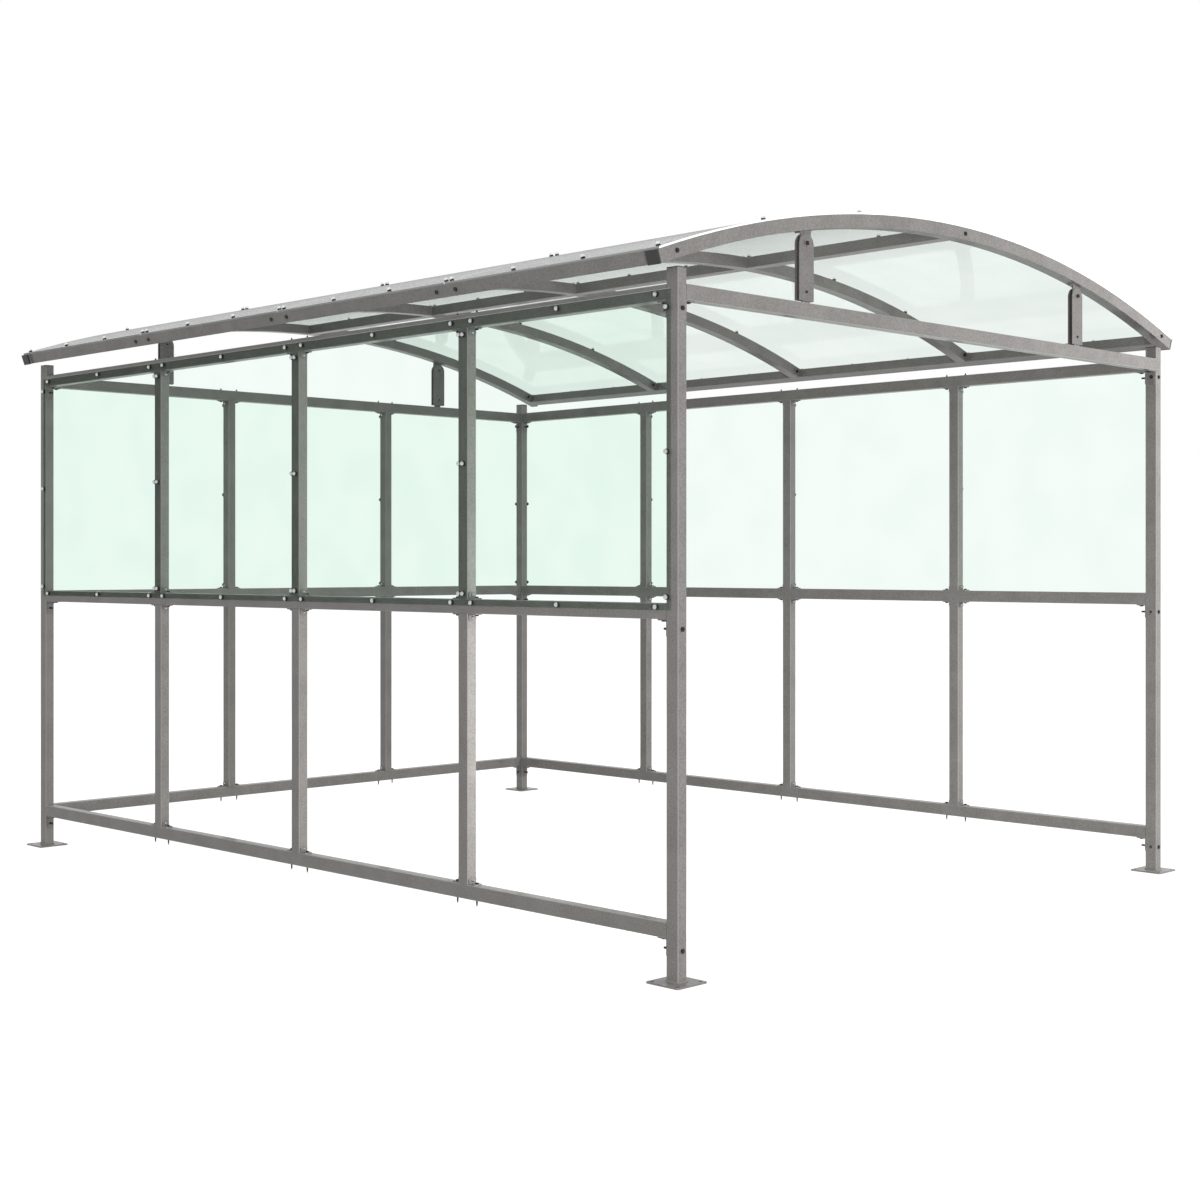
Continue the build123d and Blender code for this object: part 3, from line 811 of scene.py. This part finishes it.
# %% [markdown]
# The studio is a white floor that runs far behind the shelter, under an even white sky. The eye sees
# both as pure white. As light they count for less, the floor as a mid grey and the sky as a dull one,
# or the steel would wash out. Two large lamps in front shape the steel. The one to the front right
# stands close and lights the faces towards the open front, most of all on the right. The one to the
# front left stands far off and low, and fills the long faces of the left wall. A small lamp low inside
# lifts the studs and rails of the far wall, which are paler below the sheets than above them. A fourth
# lamp stands high behind the right corner for whoever walks round the shelter. The photograph shows
# none of the faces that it lights. The lamps are not to be seen in the steel or through the sheets.
# They only give light.

# %% Floor, sky and lamps
def white_for_the_eye(tree, strength):
    """White glow that only the camera, reflections and clear sheets see, not the lit parts."""
    rays = add_node(tree, "ShaderNodeLightPath")
    seen = add_node(
        tree,
        "ShaderNodeMath",
        {0: rays.outputs["Is Camera Ray"], 1: rays.outputs["Is Glossy Ray"]},
        operation="MAXIMUM",
    )
    through = rays.outputs["Is Transmission Ray"]
    seen = add_node(tree, "ShaderNodeMath", {0: seen.outputs[0], 1: through}, operation="MAXIMUM")
    glow = add_node(tree, "ShaderNodeMath", {0: seen.outputs[0], 1: strength}, operation="MULTIPLY")
    return glow.outputs[0]


floor_finish, tree = new_finish("white_studio_floor")
glow = white_for_the_eye(tree, 0.96)
floor_surface = add_node(
    tree,
    "ShaderNodeBsdfPrincipled",
    {
        "Base Color": paint("#787878"),
        "Roughness": 0.9,
        "Specular IOR Level": 0.0,
        "Emission Color": paint("#FFFFFF"),
        "Emission Strength": glow,
    },
)
add_node(tree, "ShaderNodeOutputMaterial", {"Surface": floor_surface.outputs["BSDF"]})

FLOOR_REACH = 60.0
FLOOR_DROP = 0.5 * MM
floor_mesh = bpy.data.meshes.new("studio_floor")
near, far = -FLOOR_REACH, FLOOR_REACH
floor_corners = [(near, near, 0), (far, near, 0), (far, far, 0), (near, far, 0)]
floor_mesh.from_pydata(floor_corners, [], [(0, 1, 2, 3)])
floor = bpy.data.objects.new("studio_floor", floor_mesh)
floor.location.z = -FLOOR_DROP
bpy.context.scene.collection.objects.link(floor)
floor.data.materials.append(floor_finish)

SKY_LIGHT = 0.58
sky = bpy.data.worlds.new("studio_sky")
bpy.context.scene.world = sky
sky.use_nodes = True
tree = sky.node_tree
tree.nodes.clear()
extra = white_for_the_eye(tree, 1.0 - SKY_LIGHT)
strength = add_node(tree, "ShaderNodeMath", {0: extra, 1: SKY_LIGHT}, operation="ADD")
light = add_node(
    tree, "ShaderNodeBackground", {"Color": paint("#FFFFFF"), "Strength": strength.outputs[0]}
)
add_node(tree, "ShaderNodeOutputWorld", {"Surface": light.outputs["Background"]})


def soft_lamp(name, place, size, power, target=(0, 0, 1.2)):
    """Square area lamp aimed at the middle of the shelter or at another target."""
    data = bpy.data.lights.new(name, "AREA")
    data.size = size
    data.energy = power
    lamp = bpy.data.objects.new(name, data)
    bpy.context.scene.collection.objects.link(lamp)
    lamp.location = place
    lamp.rotation_euler = (Vector(target) - Vector(place)).to_track_quat("-Z", "Y").to_euler()
    lamp.visible_camera = False
    lamp.visible_glossy = False
    lamp.visible_transmission = False
    print(name, "at", place, "with", power, "W")
    return lamp


soft_lamp("front_right_lamp", (2.7, -4.6, 2.1), 1.4, 105)
soft_lamp("front_left_lamp", (-4.7, -6.8, 0.9), 1.6, 190)
soft_lamp("low_inner_lamp", (-1.0, -1.9, 0.8), 0.8, 25, target=(1.3, 1.2, 0.7))
soft_lamp("back_right_lamp", (4.5, 6.0, 4.2), 2.0, 260)

bpy.context.scene.view_settings.view_transform = "Standard"
